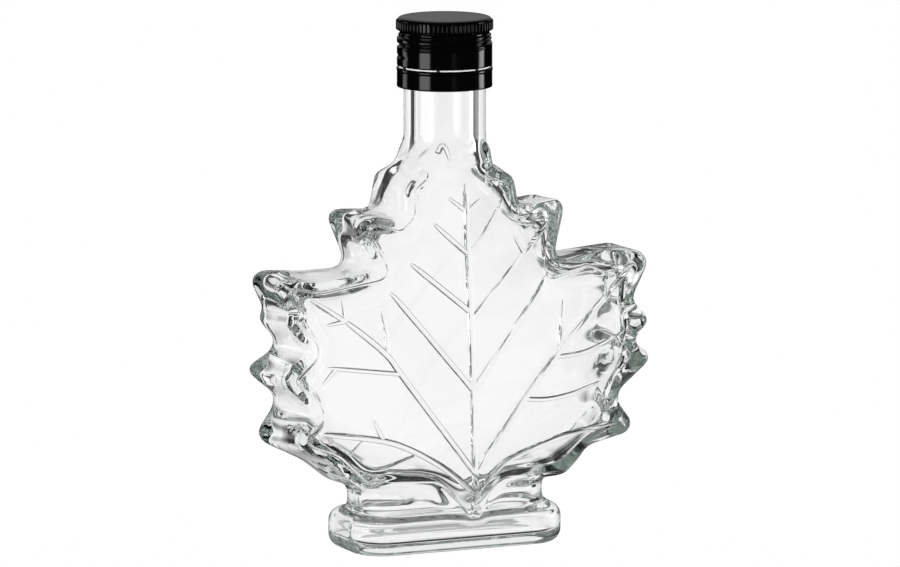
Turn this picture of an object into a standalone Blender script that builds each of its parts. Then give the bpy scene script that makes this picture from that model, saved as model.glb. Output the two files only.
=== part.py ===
"""Maple leaf bottle: a flat glass bottle cast in the shape of a maple leaf, with a black screw cap.

The bottle stands on z = 0 with its neck on the Z axis, and the veined face of the leaf looks
towards -Y. Sizes are in millimetres and turn into metres where meshes and curves are made.
"""
import math

import bmesh
import bpy
from mathutils import Matrix, Vector

MM = 0.001

# Driving sizes, in millimetres.
TOTAL_HEIGHT = 178.1
BASE_HALF_DEPTH = 20.6          # half thickness of the leaf slab carried down to z = 0
DEPTH_TAPER = 0.0486            # half thickness lost for each millimetre of height
CROWN = 2.4                     # how far each face swells beyond its own edge
CROWN_REACH = (78.0, 74.0)      # distances from the leaf's centre where the swell ends, in x and z
LEAF_CENTRE = (0.0, 72.0)       # every edge point of the leaf is seen from here
FRONT_EDGE = 4.2                # depth of the rounding between the veined face and the rim
BACK_EDGE = 10.5                # the same at the plain back, which is softer
BACK_FACE_SHARE = 0.87          # size of the back face against the rim

NECK_RADIUS = 13.75
NECK_ROOT_Z = 100.0
FINISH_RADIUS = 14.7            # the plain mouth ring that the cap covers
FINISH_START_Z = 158.0
LIP_GAP = 0.3                   # air between glass and cap
BORE_RADIUS = 10.3

FOOT_HALF = (38.6, 19.4)
FOOT_CORNER = 11.0
FOOT_HEIGHT = 13.2
FOOT_EDGE = 6.2
WAIST_HALF = (33.8, 14.6)
WAIST_CORNER = 9.0
WAIST_TOP_Z = 34.0

WALL = 3.2
FOOT_WALL = 4.5
BASE_THICKNESS = 4.6
HOLLOW_EDGE = 7.0               # depth of the rounding between the hollow's faces and its rim
HOLLOW_FACE_SHARE = 0.88        # size of the hollow's faces against its rim

CAP_RADIUS = 15.9
CAP_BOTTOM_Z = 155.3
CAP_WALL = 0.9
CAP_TOP_RADIUS = 14.7
KNURL_RADIUS = 16.3
KNURL_ROOT_RADIUS = 15.7
KNURL_SPAN_Z = (173.9, 177.3)
KNURL_COUNT = 60
SLIT_SPAN_Z = (161.3, 161.9)
GROOVE_DEPTH = 0.5              # rolled thread grooves
BEAD_HEIGHT = 0.2               # bead around the tear ring, under the slit
BRIDGE_COUNT = 7
BRIDGE_WIDTH = 1.1
BRIDGE_FIRST_ANGLE = -122.5

VEIN_RADIUS = 1.15
VEIN_SINK = 0.35                # depth of a vein's centre line under the face

ROUND_STEPS = 48
CORNER_STEPS = 2
EDGE_RINGS = 3
CROWN_RINGS = (0.3, 0.6, 0.87)  # shares of the way from the leaf's centre to a face's edge

# Corners of the leaf, clockwise from the top of the left half as the veined face is seen:
# (x, z, fillet radius) where the veined face ends, then the same three for the rim around it.
LEFT_CORNERS = [
    ((-3.0, 135.5, 2.0), (-12.5, 137.5, 3.0)),
    ((-5.5, 126.5, 6.0), (-15.2, 129.2, 5.0)),
    ((-16.8, 123.4, 2.0), (-22.4, 126.6, 3.2)),
    ((-17.6, 109.0, 5.0), (-24.2, 114.3, 2.5)),
    ((-36.0, 112.8, 2.0), (-41.3, 115.3, 3.2)),
    ((-25.6, 94.0, 3.5), (-32.4, 95.2, 3.0)),
    ((-51.5, 90.2, 12.0), (-50.0, 94.8, 12.0)),
    ((-65.4, 93.2, 1.5), (-69.8, 96.6, 4.5)),
    ((-57.0, 82.7, 1.5), (-62.2, 82.4, 2.0)),
    ((-60.9, 81.6, 1.0), (-64.6, 79.3, 2.0)),
    ((-51.0, 70.8, 5.0), (-56.4, 70.0, 3.5)),
    ((-61.4, 61.6, 1.2), (-69.4, 62.5, 2.5)),
    ((-49.0, 49.4, 8.0), (-56.2, 51.8, 5.0)),
    ((-58.8, 40.6, 1.8), (-65.2, 38.9, 3.5)),
    ((-46.5, 36.0, 14.0), (-48.5, 30.6, 14.0)),
    ((-36.6, 26.2, 2.5), (-38.4, 22.8, 3.0)),
    ((-10.0, 26.0, 10.0), (-12.0, 20.0, 8.0)),
    ((-3.0, 13.0, 2.0), (-4.6, 10.6, 2.0)),
]
# The right half from the bottom up, so that both lists run on around the leaf.
RIGHT_CORNERS = [
    ((4.0, 13.0, 2.0), (5.6, 10.6, 2.0)),
    ((10.5, 24.5, 8.0), (12.0, 19.5, 8.0)),
    ((36.0, 25.0, 2.5), (40.0, 23.9, 3.0)),
    ((45.5, 35.0, 14.0), (45.0, 31.6, 6.0)),
    ((57.8, 40.4, 1.8), (64.6, 35.2, 4.0)),
    ((48.4, 48.2, 6.0), (55.8, 48.0, 4.5)),
    ((61.4, 62.2, 1.2), (71.9, 60.7, 2.6)),
    ((57.8, 66.8, 2.0), (63.0, 66.2, 2.5)),
    ((61.4, 73.8, 1.2), (70.9, 72.9, 2.4)),
    ((58.0, 79.6, 3.0), (63.6, 80.3, 3.0)),
    ((65.6, 94.0, 1.5), (72.0, 95.8, 5.0)),
    ((52.4, 90.4, 4.0), (60.0, 97.8, 8.0)),
    ((46.2, 93.4, 3.0), (45.5, 96.9, 8.0)),
    ((28.8, 88.6, 3.5), (34.6, 94.8, 3.0)),
    ((32.0, 114.8, 2.0), (40.4, 117.0, 3.4)),
    ((18.4, 109.2, 4.0), (22.6, 113.8, 2.5)),
    ((16.8, 123.0, 2.0), (20.9, 124.8, 2.8)),
    ((6.0, 126.0, 6.0), (12.8, 127.8, 3.0)),
    ((3.0, 135.5, 2.0), (11.5, 137.5, 3.0)),
]
# Corners (x, z, fillet radius) of the smoother hollow inside the leaf.
HOLLOW_CORNERS = [
    (-9.0, 128.0, 4.0), (-17.0, 118.0, 6.0), (-30.0, 108.0, 5.0), (-24.0, 90.0, 8.0),
    (-58.0, 89.0, 5.0), (-48.0, 70.0, 8.0), (-57.0, 58.0, 5.0), (-47.0, 46.0, 8.0),
    (-54.0, 40.0, 4.0), (-32.0, 29.0, 6.0), (-22.0, 25.0, 3.0),
    (22.0, 25.0, 3.0), (32.0, 29.0, 6.0), (54.0, 40.0, 4.0), (48.0, 47.0, 8.0),
    (60.0, 60.0, 5.0), (53.0, 71.0, 8.0), (60.0, 90.0, 5.0), (26.0, 90.0, 8.0),
    (30.0, 109.0, 5.0), (17.0, 118.0, 6.0), (9.0, 128.0, 4.0),
]
# Vein runs (x, z) on the face, thickest first.
MAIN_VEINS = [
    [(1.8, 18.0), (1.2, 55.0), (0.8, 81.0), (0.4, 101.0), (0.3, 124.0)],
    [(1.6, 27.0), (-25.2, 62.2), (-29.8, 69.4), (-44.6, 81.2)],
    [(1.6, 27.0), (22.6, 54.0), (33.8, 66.6), (50.8, 82.8), (61.0, 92.0)],
    [(1.8, 19.6), (-7.5, 28.6), (-21.9, 36.9), (-31.7, 40.6), (-52.3, 43.8)],
    [(1.8, 19.6), (10.9, 29.8), (22.0, 33.6), (36.9, 38.2), (54.4, 40.2)],
]
SIDE_VEINS = [
    [(0.5, 114.6), (-6.0, 119.6)],
    [(0.5, 114.6), (5.4, 118.4)],
    [(0.4, 100.4), (-11.5, 111.2)],
    [(0.5, 100.0), (7.5, 108.0), (14.0, 118.0)],
    [(0.8, 81.2), (-20.4, 98.6)],
    [(1.0, 78.4), (20.8, 99.2), (31.4, 109.8)],
    [(21.0, 99.4), (17.3, 105.6)],
    [(1.0, 55.2), (-27.8, 89.4)],
    [(1.0, 54.8), (30.2, 91.4)],
    [(-44.4, 81.0), (-56.3, 88.6)],
    [(-44.4, 81.0), (-44.9, 88.4)],
    [(-44.4, 81.0), (-51.1, 80.0)],
    [(-29.6, 69.0), (-29.8, 77.2), (-31.4, 83.6)],
    [(-25.2, 62.2), (-50.7, 65.8)],
    [(-48.0, 65.4), (-53.3, 59.8)],
    [(50.8, 82.8), (51.7, 88.8)],
    [(50.6, 82.6), (56.7, 81.8)],
    [(33.6, 66.4), (34.4, 76.0), (35.2, 83.0)],
    [(31.6, 64.0), (41.1, 64.4), (48.6, 66.6), (58.0, 70.6)],
    [(20.0, 50.8), (27.9, 49.8), (39.0, 51.2), (48.4, 54.4)],
    [(-31.7, 40.6), (-35.2, 47.5)],
    [(-20.7, 34.2), (-36.3, 29.3), (-43.4, 36.5)],
    [(-43.2, 36.4), (-39.1, 40.6)],
    [(37.0, 38.2), (39.5, 41.2)],
]


def clear_scene():
    for item in list(bpy.data.objects):
        bpy.data.objects.remove(item, do_unlink=True)


def new_collection(name):
    collection = bpy.data.collections.new(name)
    bpy.context.scene.collection.children.link(collection)
    return collection


def new_material(name, colour, roughness, metallic, transmission=0.0):
    material = bpy.data.materials.new(name)
    material.use_nodes = True
    shader = material.node_tree.nodes["Principled BSDF"]
    shader.inputs["Base Color"].default_value = (*colour, 1.0)
    shader.inputs["Roughness"].default_value = roughness
    shader.inputs["Metallic"].default_value = metallic
    shader.inputs["Transmission Weight"].default_value = transmission
    material.diffuse_color = (*colour, 1.0)
    return material


def add_object(name, data, collection):
    item = bpy.data.objects.new(name, data)
    collection.objects.link(item)
    return item


def half_depth(z):
    """Half thickness of the leaf where its faces end, at height z."""
    return BASE_HALF_DEPTH - DEPTH_TAPER * z


def swell(x, z):
    """How far a face stands out in front of its edge, away from the edge itself."""
    centre_x, centre_z = LEAF_CENTRE
    reach_x, reach_z = CROWN_REACH
    return CROWN * (1 - ((x - centre_x) / reach_x) ** 2 - ((z - centre_z) / reach_z) ** 2)


def filleted(corners, steps=CORNER_STEPS):
    """Points (x, z) of a closed outline whose corners are rounded by arcs of `steps` parts."""
    points = []
    for index, (x, z, radius) in enumerate(corners):
        corner = Vector((x, z))
        before = Vector(corners[index - 1][:2]) - corner
        after = Vector(corners[(index + 1) % len(corners)][:2]) - corner
        half_angle = before.angle(after) / 2
        reach = min(radius / math.tan(half_angle), 0.48 * before.length, 0.48 * after.length)
        start = corner + before.normalized() * reach
        end = corner + after.normalized() * reach
        middle = corner + (before.normalized() + after.normalized()).normalized() * reach / math.cos(half_angle)
        turn = (start - middle).angle_signed(end - middle)
        for step in range(steps + 1):
            angle = -turn * step / steps
            spoke = start - middle
            points.append(Vector((
                middle.x + spoke.x * math.cos(angle) - spoke.y * math.sin(angle),
                middle.y + spoke.x * math.sin(angle) + spoke.y * math.cos(angle),
            )))
    return points


def loft(name, rings, collection):
    """A closed skin over rings of equal length, whose first and last ring are single points."""
    shape = bmesh.new()
    rows = [[shape.verts.new(Vector(point) * MM) for point in ring] for ring in rings]
    for lower, upper in zip(rows, rows[1:]):
        count = max(len(lower), len(upper))
        for step in range(count):
            after = (step + 1) % count
            corners = [lower[step % len(lower)], lower[after % len(lower)],
                       upper[after % len(upper)], upper[step % len(upper)]]
            shape.faces.new(list(dict.fromkeys(corners)))
    bmesh.ops.recalc_face_normals(shape, faces=shape.faces)
    mesh = bpy.data.meshes.new(name)
    shape.to_mesh(mesh)
    shape.free()
    return add_object(name, mesh, collection)


def face_rings(face_edge, depth_at, side):
    """The centre of a face, and rings around it that grow towards its edge."""
    centre = Vector(LEAF_CENTRE)
    rings = [[(centre.x, side * (depth_at(centre.y) + CROWN), centre.y)]]
    for share in CROWN_RINGS:
        shrunk = [centre.lerp(point, share) for point in face_edge]
        rings.append([(p.x, side * (depth_at(p.y) + swell(p.x, p.y)), p.y) for p in shrunk])
    return rings


def edge_rings(face_edge, rim_edge, depth_at, side, edge_depth):
    """Rings of the rounding that leads from a face's edge out to the rim."""
    rings = []
    for step in range(EDGE_RINGS + 1):
        angle = math.pi / 2 * step / EDGE_RINGS
        blends = [face.lerp(rim, math.sin(angle)) for face, rim in zip(face_edge, rim_edge)]
        drop = edge_depth * (1 - math.cos(angle))
        rings.append([(p.x, side * (depth_at(p.y) - drop), p.y) for p in blends])
    return rings


def slab_rings(front_edge, rim_edge, back_edge, depth_at, edge_depths):
    """All rings of a slab, from the centre of its front face to the centre of its back face."""
    front = face_rings(front_edge, depth_at, -1)
    front += edge_rings(front_edge, rim_edge, depth_at, -1, edge_depths[0])
    back = face_rings(back_edge, depth_at, 1)
    back += edge_rings(back_edge, rim_edge, depth_at, 1, edge_depths[1])
    return front + back[::-1]


def shrunk_outline(outline, share):
    centre = Vector(LEAF_CENTRE)
    return [centre.lerp(point, share) for point in outline]


def leaf_edges():
    pairs = LEFT_CORNERS + RIGHT_CORNERS
    face_edge = filleted([face for face, _ in pairs])
    rim_edge = filleted([rim for _, rim in pairs])
    return face_edge, rim_edge


def add_leaf(collection):
    face_edge, rim_edge = leaf_edges()
    back_edge = shrunk_outline(rim_edge, BACK_FACE_SHARE)
    rings = slab_rings(face_edge, rim_edge, back_edge, half_depth, (FRONT_EDGE, BACK_EDGE))
    return loft("leaf", rings, collection)


def add_hollow(collection):
    rim_edge = filleted(HOLLOW_CORNERS)
    face_edge = shrunk_outline(rim_edge, HOLLOW_FACE_SHARE)
    rings = slab_rings(face_edge, rim_edge, face_edge, lambda z: half_depth(z) - WALL,
                       (HOLLOW_EDGE, HOLLOW_EDGE))
    return loft("hollow", rings, collection)


def turned(name, profile, collection, steps=ROUND_STEPS):
    """A solid turned about Z from (radius, z) points that run down its outer side."""
    mesh = bpy.data.meshes.new(name)
    points = [(radius * MM, 0.0, z * MM) for radius, z in profile]
    mesh.from_pydata(points, [(i, i + 1) for i in range(len(points) - 1)], [])
    item = add_object(name, mesh, collection)
    screw = item.modifiers.new("turn", "SCREW")
    screw.steps = steps
    screw.render_steps = steps
    screw.use_merge_vertices = True
    screw.merge_threshold = 0.00001
    return item


def rounded_block(name, half_size, corner, span_z, edge, collection):
    """A standing block with a rounded rectangular plan and rounded top and bottom edges."""
    half_x, half_y = half_size
    corners = [(-half_x, -half_y, corner), (-half_x, half_y, corner),
               (half_x, half_y, corner), (half_x, -half_y, corner)]
    low, high = span_z
    item = extruded(name, filleted(corners, steps=6), (high - low) / 2 - edge, collection,
                    bevel_depth=edge, bevel_resolution=2, offset=-edge)
    lift(item, (low + high) / 2)
    return item


def lift(item, z):
    item.data.transform(Matrix.Translation((0.0, 0.0, z * MM)))


def extruded(name, outline, half_height, collection, **bevel):
    """A flat outline in XY made `half_height` thick each way, as a mesh."""
    curve = bpy.data.curves.new(name, "CURVE")
    curve.dimensions = "2D"
    curve.fill_mode = "BOTH"
    curve.extrude = half_height * MM
    curve.bevel_depth = bevel.get("bevel_depth", 0.0) * MM
    curve.bevel_resolution = bevel.get("bevel_resolution", 0)
    curve.offset = bevel.get("offset", 0.0) * MM
    spline = curve.splines.new("POLY")
    spline.points.add(len(outline) - 1)
    for target, point in zip(spline.points, outline):
        target.co = (point.x * MM, point.y * MM, 0.0, 1.0)
    spline.use_cyclic_u = True
    return to_mesh_object(add_object(name, curve, collection), collection)


def to_mesh_object(item, collection):
    """A mesh object that takes the place of a curve object, with its caps welded."""
    graph = bpy.context.evaluated_depsgraph_get()
    mesh = bpy.data.meshes.new_from_object(item.evaluated_get(graph))
    shape = bmesh.new()
    shape.from_mesh(mesh)
    bmesh.ops.remove_doubles(shape, verts=shape.verts, dist=0.000002)
    bmesh.ops.recalc_face_normals(shape, faces=shape.faces)
    shape.to_mesh(mesh)
    shape.free()
    name = item.name
    matrix = item.matrix_world.copy()
    bpy.data.objects.remove(item, do_unlink=True)
    solid = add_object(name, mesh, collection)
    solid.matrix_world = matrix
    return solid


def front_surface(face_edge, x, z):
    """The y of the veined face at (x, z), from how far out the point lies on its ray."""
    centre = Vector(LEAF_CENTRE)
    ray = Vector((x, z)) - centre
    reach = 0.0
    for start, end in zip(face_edge, face_edge[1:] + face_edge[:1]):
        side = end - start
        across = ray.x * side.y - ray.y * side.x
        if abs(across) < 1e-9:
            continue
        offset = start - centre
        along_ray = (offset.x * side.y - offset.y * side.x) / across
        along_side = (offset.x * ray.y - offset.y * ray.x) / across
        if along_ray > 0 and 0 <= along_side <= 1:
            reach = along_ray
    edge_share = CROWN_RINGS[-1]
    fade = min(1.0, max(0.0, (1 - 1 / reach) / (1 - edge_share)))
    return -(half_depth(z) + fade * swell(x, z))


def add_vein(name, run, face_edge, collection):
    curve = bpy.data.curves.new(name, "CURVE")
    curve.dimensions = "3D"
    curve.bevel_depth = VEIN_RADIUS * MM
    curve.bevel_resolution = 1
    curve.use_fill_caps = True
    spline = curve.splines.new("POLY")
    spline.points.add(len(run) - 1)
    for target, (x, z) in zip(spline.points, run):
        y = front_surface(face_edge, x, z) + VEIN_SINK
        target.co = (x * MM, y * MM, z * MM, 1.0)
    return to_mesh_object(add_object(name, curve, collection), collection)


def apply_boolean(item, operation, collection):
    """Join or cut `item` with everything in `collection`, for good."""
    boolean = item.modifiers.new(operation.lower(), "BOOLEAN")
    boolean.operation = operation
    boolean.solver = "MANIFOLD"
    boolean.operand_type = "COLLECTION"
    boolean.collection = collection
    graph = bpy.context.evaluated_depsgraph_get()
    mesh = bpy.data.meshes.new_from_object(item.evaluated_get(graph))
    item.modifiers.clear()
    item.data = mesh
    for operand in list(collection.objects):
        bpy.data.objects.remove(operand, do_unlink=True)
    bpy.data.collections.remove(collection)


def shade(item, material, angle=35):
    item.data.materials.clear()
    item.data.materials.append(material)
    item.data.shade_smooth()
    item.data.set_sharp_from_angle(angle=math.radians(angle))


def lip_z():
    return TOTAL_HEIGHT - CAP_WALL - LIP_GAP


def add_bottle(collection):
    bottle = add_leaf(collection)
    bottle.name = "bottle"
    joined = new_collection("joined")
    face_edge, _ = leaf_edges()
    turned("neck", [
        (0.0, lip_z()),
        (FINISH_RADIUS - 1.2, lip_z()),
        (FINISH_RADIUS - 0.35, lip_z() - 0.35),
        (FINISH_RADIUS, lip_z() - 1.2),
        (FINISH_RADIUS, FINISH_START_Z + 1.0),
        (NECK_RADIUS, FINISH_START_Z),
        (NECK_RADIUS, NECK_ROOT_Z),
        (0.0, NECK_ROOT_Z),
    ], joined)
    rounded_block("waist", WAIST_HALF, WAIST_CORNER, (4.0, WAIST_TOP_Z), 3.0, joined)
    rounded_block("foot", FOOT_HALF, FOOT_CORNER, (0.0, FOOT_HEIGHT), FOOT_EDGE, joined)
    for index, run in enumerate(MAIN_VEINS + SIDE_VEINS):
        add_vein(f"vein_{index:02d}", run, face_edge, joined)
    apply_boolean(bottle, "UNION", joined)
    cut = new_collection("cut")
    add_hollow(cut)
    turned("bore", [
        (0.0, TOTAL_HEIGHT + 5.0),
        (BORE_RADIUS, TOTAL_HEIGHT + 5.0),
        (BORE_RADIUS, NECK_ROOT_Z + 5.0),
        (0.0, NECK_ROOT_Z + 5.0),
    ], cut)
    rounded_block("waist_well", (WAIST_HALF[0] - WALL, WAIST_HALF[1] - WALL), WAIST_CORNER - WALL,
                  (BASE_THICKNESS + 0.5, WAIST_TOP_Z + 2.0), 2.0, cut)
    rounded_block("foot_well", (FOOT_HALF[0] - FOOT_WALL, FOOT_HALF[1] - FOOT_WALL), FOOT_CORNER - FOOT_WALL,
                  (BASE_THICKNESS, FOOT_HEIGHT - WALL), 2.0, cut)
    apply_boolean(bottle, "DIFFERENCE", cut)
    return bottle


def knurl_outline():
    """A ring of ribs, each one a crest between two roots."""
    points = []
    for step in range(2 * KNURL_COUNT):
        radius = KNURL_RADIUS if step % 2 else KNURL_ROOT_RADIUS
        angle = math.pi * step / KNURL_COUNT
        points.append(Vector((radius * math.cos(angle), radius * math.sin(angle))))
    return points


def slit_outline(first_angle):
    """One opening of the tear slit, as a flat ring segment between two bridges."""
    pitch = 2 * math.pi / BRIDGE_COUNT
    bridge = BRIDGE_WIDTH / CAP_RADIUS
    steps = 8
    angles = [first_angle + bridge / 2 + (pitch - bridge) * step / steps for step in range(steps + 1)]
    outer = [Vector((math.cos(a), math.sin(a))) * (CAP_RADIUS + 1.5) for a in angles]
    inner = [Vector((math.cos(a), math.sin(a))) * (CAP_RADIUS - CAP_WALL - 0.6) for a in reversed(angles)]
    return outer + inner


def add_cap(collection):
    slit_low, slit_high = SLIT_SPAN_Z
    knurl_low, knurl_high = KNURL_SPAN_Z
    cap = turned("cap", [
        (0.0, TOTAL_HEIGHT),
        (CAP_TOP_RADIUS, TOTAL_HEIGHT),
        (CAP_TOP_RADIUS + 0.6, TOTAL_HEIGHT - 0.3),
        (CAP_TOP_RADIUS + 0.8, TOTAL_HEIGHT - 0.9),
        (CAP_TOP_RADIUS + 0.8, knurl_low - 0.9),
        (CAP_RADIUS, 171.9),
        (CAP_RADIUS, 171.3),
        (CAP_RADIUS - GROOVE_DEPTH, 170.2),
        (CAP_RADIUS, 169.1),
        (CAP_RADIUS, 168.5),
        (CAP_RADIUS - GROOVE_DEPTH, 167.8),
        (CAP_RADIUS, 167.1),
        (CAP_RADIUS, slit_low - 0.6),
        (CAP_RADIUS + BEAD_HEIGHT, slit_low - 1.0),
        (CAP_RADIUS, slit_low - 1.6),
        (CAP_RADIUS, CAP_BOTTOM_Z + 0.3),
        (CAP_RADIUS - 0.3, CAP_BOTTOM_Z),
        (0.0, CAP_BOTTOM_Z),
    ], collection)
    ribs = new_collection("ribs")
    knurl = extruded("knurl", knurl_outline(), (knurl_high - knurl_low) / 2, ribs)
    lift(knurl, (knurl_low + knurl_high) / 2)
    apply_boolean(cap, "UNION", ribs)
    cut = new_collection("cut")
    inner = CAP_RADIUS - CAP_WALL
    turned("cap_hollow", [
        (0.0, TOTAL_HEIGHT - CAP_WALL),
        (inner, TOTAL_HEIGHT - CAP_WALL),
        (inner, CAP_BOTTOM_Z - 3.0),
        (0.0, CAP_BOTTOM_Z - 3.0),
    ], cut)
    for bridge in range(BRIDGE_COUNT):
        angle = math.radians(BRIDGE_FIRST_ANGLE) + 2 * math.pi * bridge / BRIDGE_COUNT
        slit = extruded(f"slit_{bridge}", slit_outline(angle), (slit_high - slit_low) / 2, cut)
        lift(slit, (slit_low + slit_high) / 2)
    apply_boolean(cap, "DIFFERENCE", cut)
    return cap


def main():
    clear_scene()
    parts = new_collection("maple_leaf_bottle")
    glass = new_material("clear_glass", (0.93, 0.95, 0.94), 0.02, 0.0, transmission=1.0)
    black = new_material("black_cap", (0.012, 0.012, 0.013), 0.22, 0.0)
    shade(add_bottle(parts), glass, angle=50)
    shade(add_cap(parts), black)


main()
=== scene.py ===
"""Maple leaf bottle: clear moulded glass with a black screw cap, dressed around its solid model."""

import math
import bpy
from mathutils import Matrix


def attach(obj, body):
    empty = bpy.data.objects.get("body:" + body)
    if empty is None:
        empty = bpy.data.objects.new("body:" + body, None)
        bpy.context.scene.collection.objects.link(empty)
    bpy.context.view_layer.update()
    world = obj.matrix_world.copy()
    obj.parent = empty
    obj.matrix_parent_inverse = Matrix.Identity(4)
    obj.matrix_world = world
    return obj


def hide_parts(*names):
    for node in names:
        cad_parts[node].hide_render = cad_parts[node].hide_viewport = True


bl_info = {
    "name": "Maple Leaf Bottle",
    "version": (1, 0, 0),
    "blender": (4, 5, 0),
    "location": "3D View > Sidebar > Maple Bottle",
    "description": "Builds a clear glass bottle in the shape of a maple leaf, its cap and a studio",
    "category": "Object",
}

from functools import partial

import bmesh
import bpy
import numpy as np
from bpy.props import FloatProperty, FloatVectorProperty, IntProperty, PointerProperty
from mathutils import Matrix, Vector

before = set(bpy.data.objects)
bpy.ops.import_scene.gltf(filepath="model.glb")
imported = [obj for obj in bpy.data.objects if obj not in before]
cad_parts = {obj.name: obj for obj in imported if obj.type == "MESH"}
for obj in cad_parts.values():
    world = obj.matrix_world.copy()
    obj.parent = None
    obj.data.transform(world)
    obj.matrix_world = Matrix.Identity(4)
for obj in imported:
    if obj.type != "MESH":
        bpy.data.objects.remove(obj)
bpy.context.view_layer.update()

MM = 0.001

# ---------------------------------------------------------------- glass, in millimetres

BASE_HALF_DEPTH = 20.6
DEPTH_TAPER = 0.0486
CROWN = 2.4
CROWN_REACH = (78.0, 74.0)
LEAF_CENTRE_Z = 72.0
FRONT_EDGE = 4.2
FRONT_INSET = 5.5
BACK_EDGE = 10.5
BACK_INSET = 8.5
EDGE_SOFTNESS = 1.25
FACE_SOFTNESS = 0.6
LEDGE_SOFTNESS = 0.9
LEDGE_ROUND = 2.0
LEDGE_END_X = (-4.0, 8.0)
LEDGE_END_Z = (26.0, 36.0)
FRONT_SWELL_FADE = (-8.0, 0.0)
BACK_SWELL_FADE = (-14.0, -5.0)
STEP_END_Z = (126.5, 130.5)
FACE_OVERLAP = 1.0
FACE_DEPTH = 6.0

NECK_RADIUS = 13.75
NECK_ROOT_Z = 100.0
FINISH_RADIUS = 14.6
FINISH_START_Z = 158.0
LIP_Z = 176.9
LIP_ROUND = 1.2
BORE_RADIUS = 9.9

FOOT_HALF = (38.6, 19.4)
FOOT_CORNER = 13.0
FOOT_HEIGHT = 13.2
FOOT_EDGE = (4.6, 4.4)
PUSH_UP = 1.1
WAIST_HALF = (33.8, 14.6)
WAIST_CORNER = 13.0
WAIST_TOP_Z = 34.0
WAIST_LOW_Z = 4.0
WAIST_JOIN = 4.0
FOOT_EDGE_Z = (5.5, 8.5)
FOOT_JOIN = 3.5
PUSH_UP_HALF = (32.0, 13.0)
PUSH_UP_ROUND = 0.8
BUTTON_X = 2.6
BUTTON_Z = 13.6
BUTTON_RADIUS = 1.9
BUTTON_SUNK = 0.4
BUTTON_JOIN = 0.5

BASE_THICKNESS = 4.2
HOLLOW_WAVE = 0.25
BORE_LOW_Z = 105.0
BORE_JOIN = 7.0
WELL_LOW_Z = 7.0
WELL_TOP_Z = 36.0
WELL_JOIN = 5.0
POCKET_OVERLAP = 0.4
POCKET_JOIN = 2.5
MOUTH_ROUND = 0.9

FIELD_STEP = 0.75
REFINE_TURNS = (17.0, 24.0)
GRID_LOW = (-73.0, -23.5, -1.6)
GRID_HIGH = (73.0, 23.5, 178.8)

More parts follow.
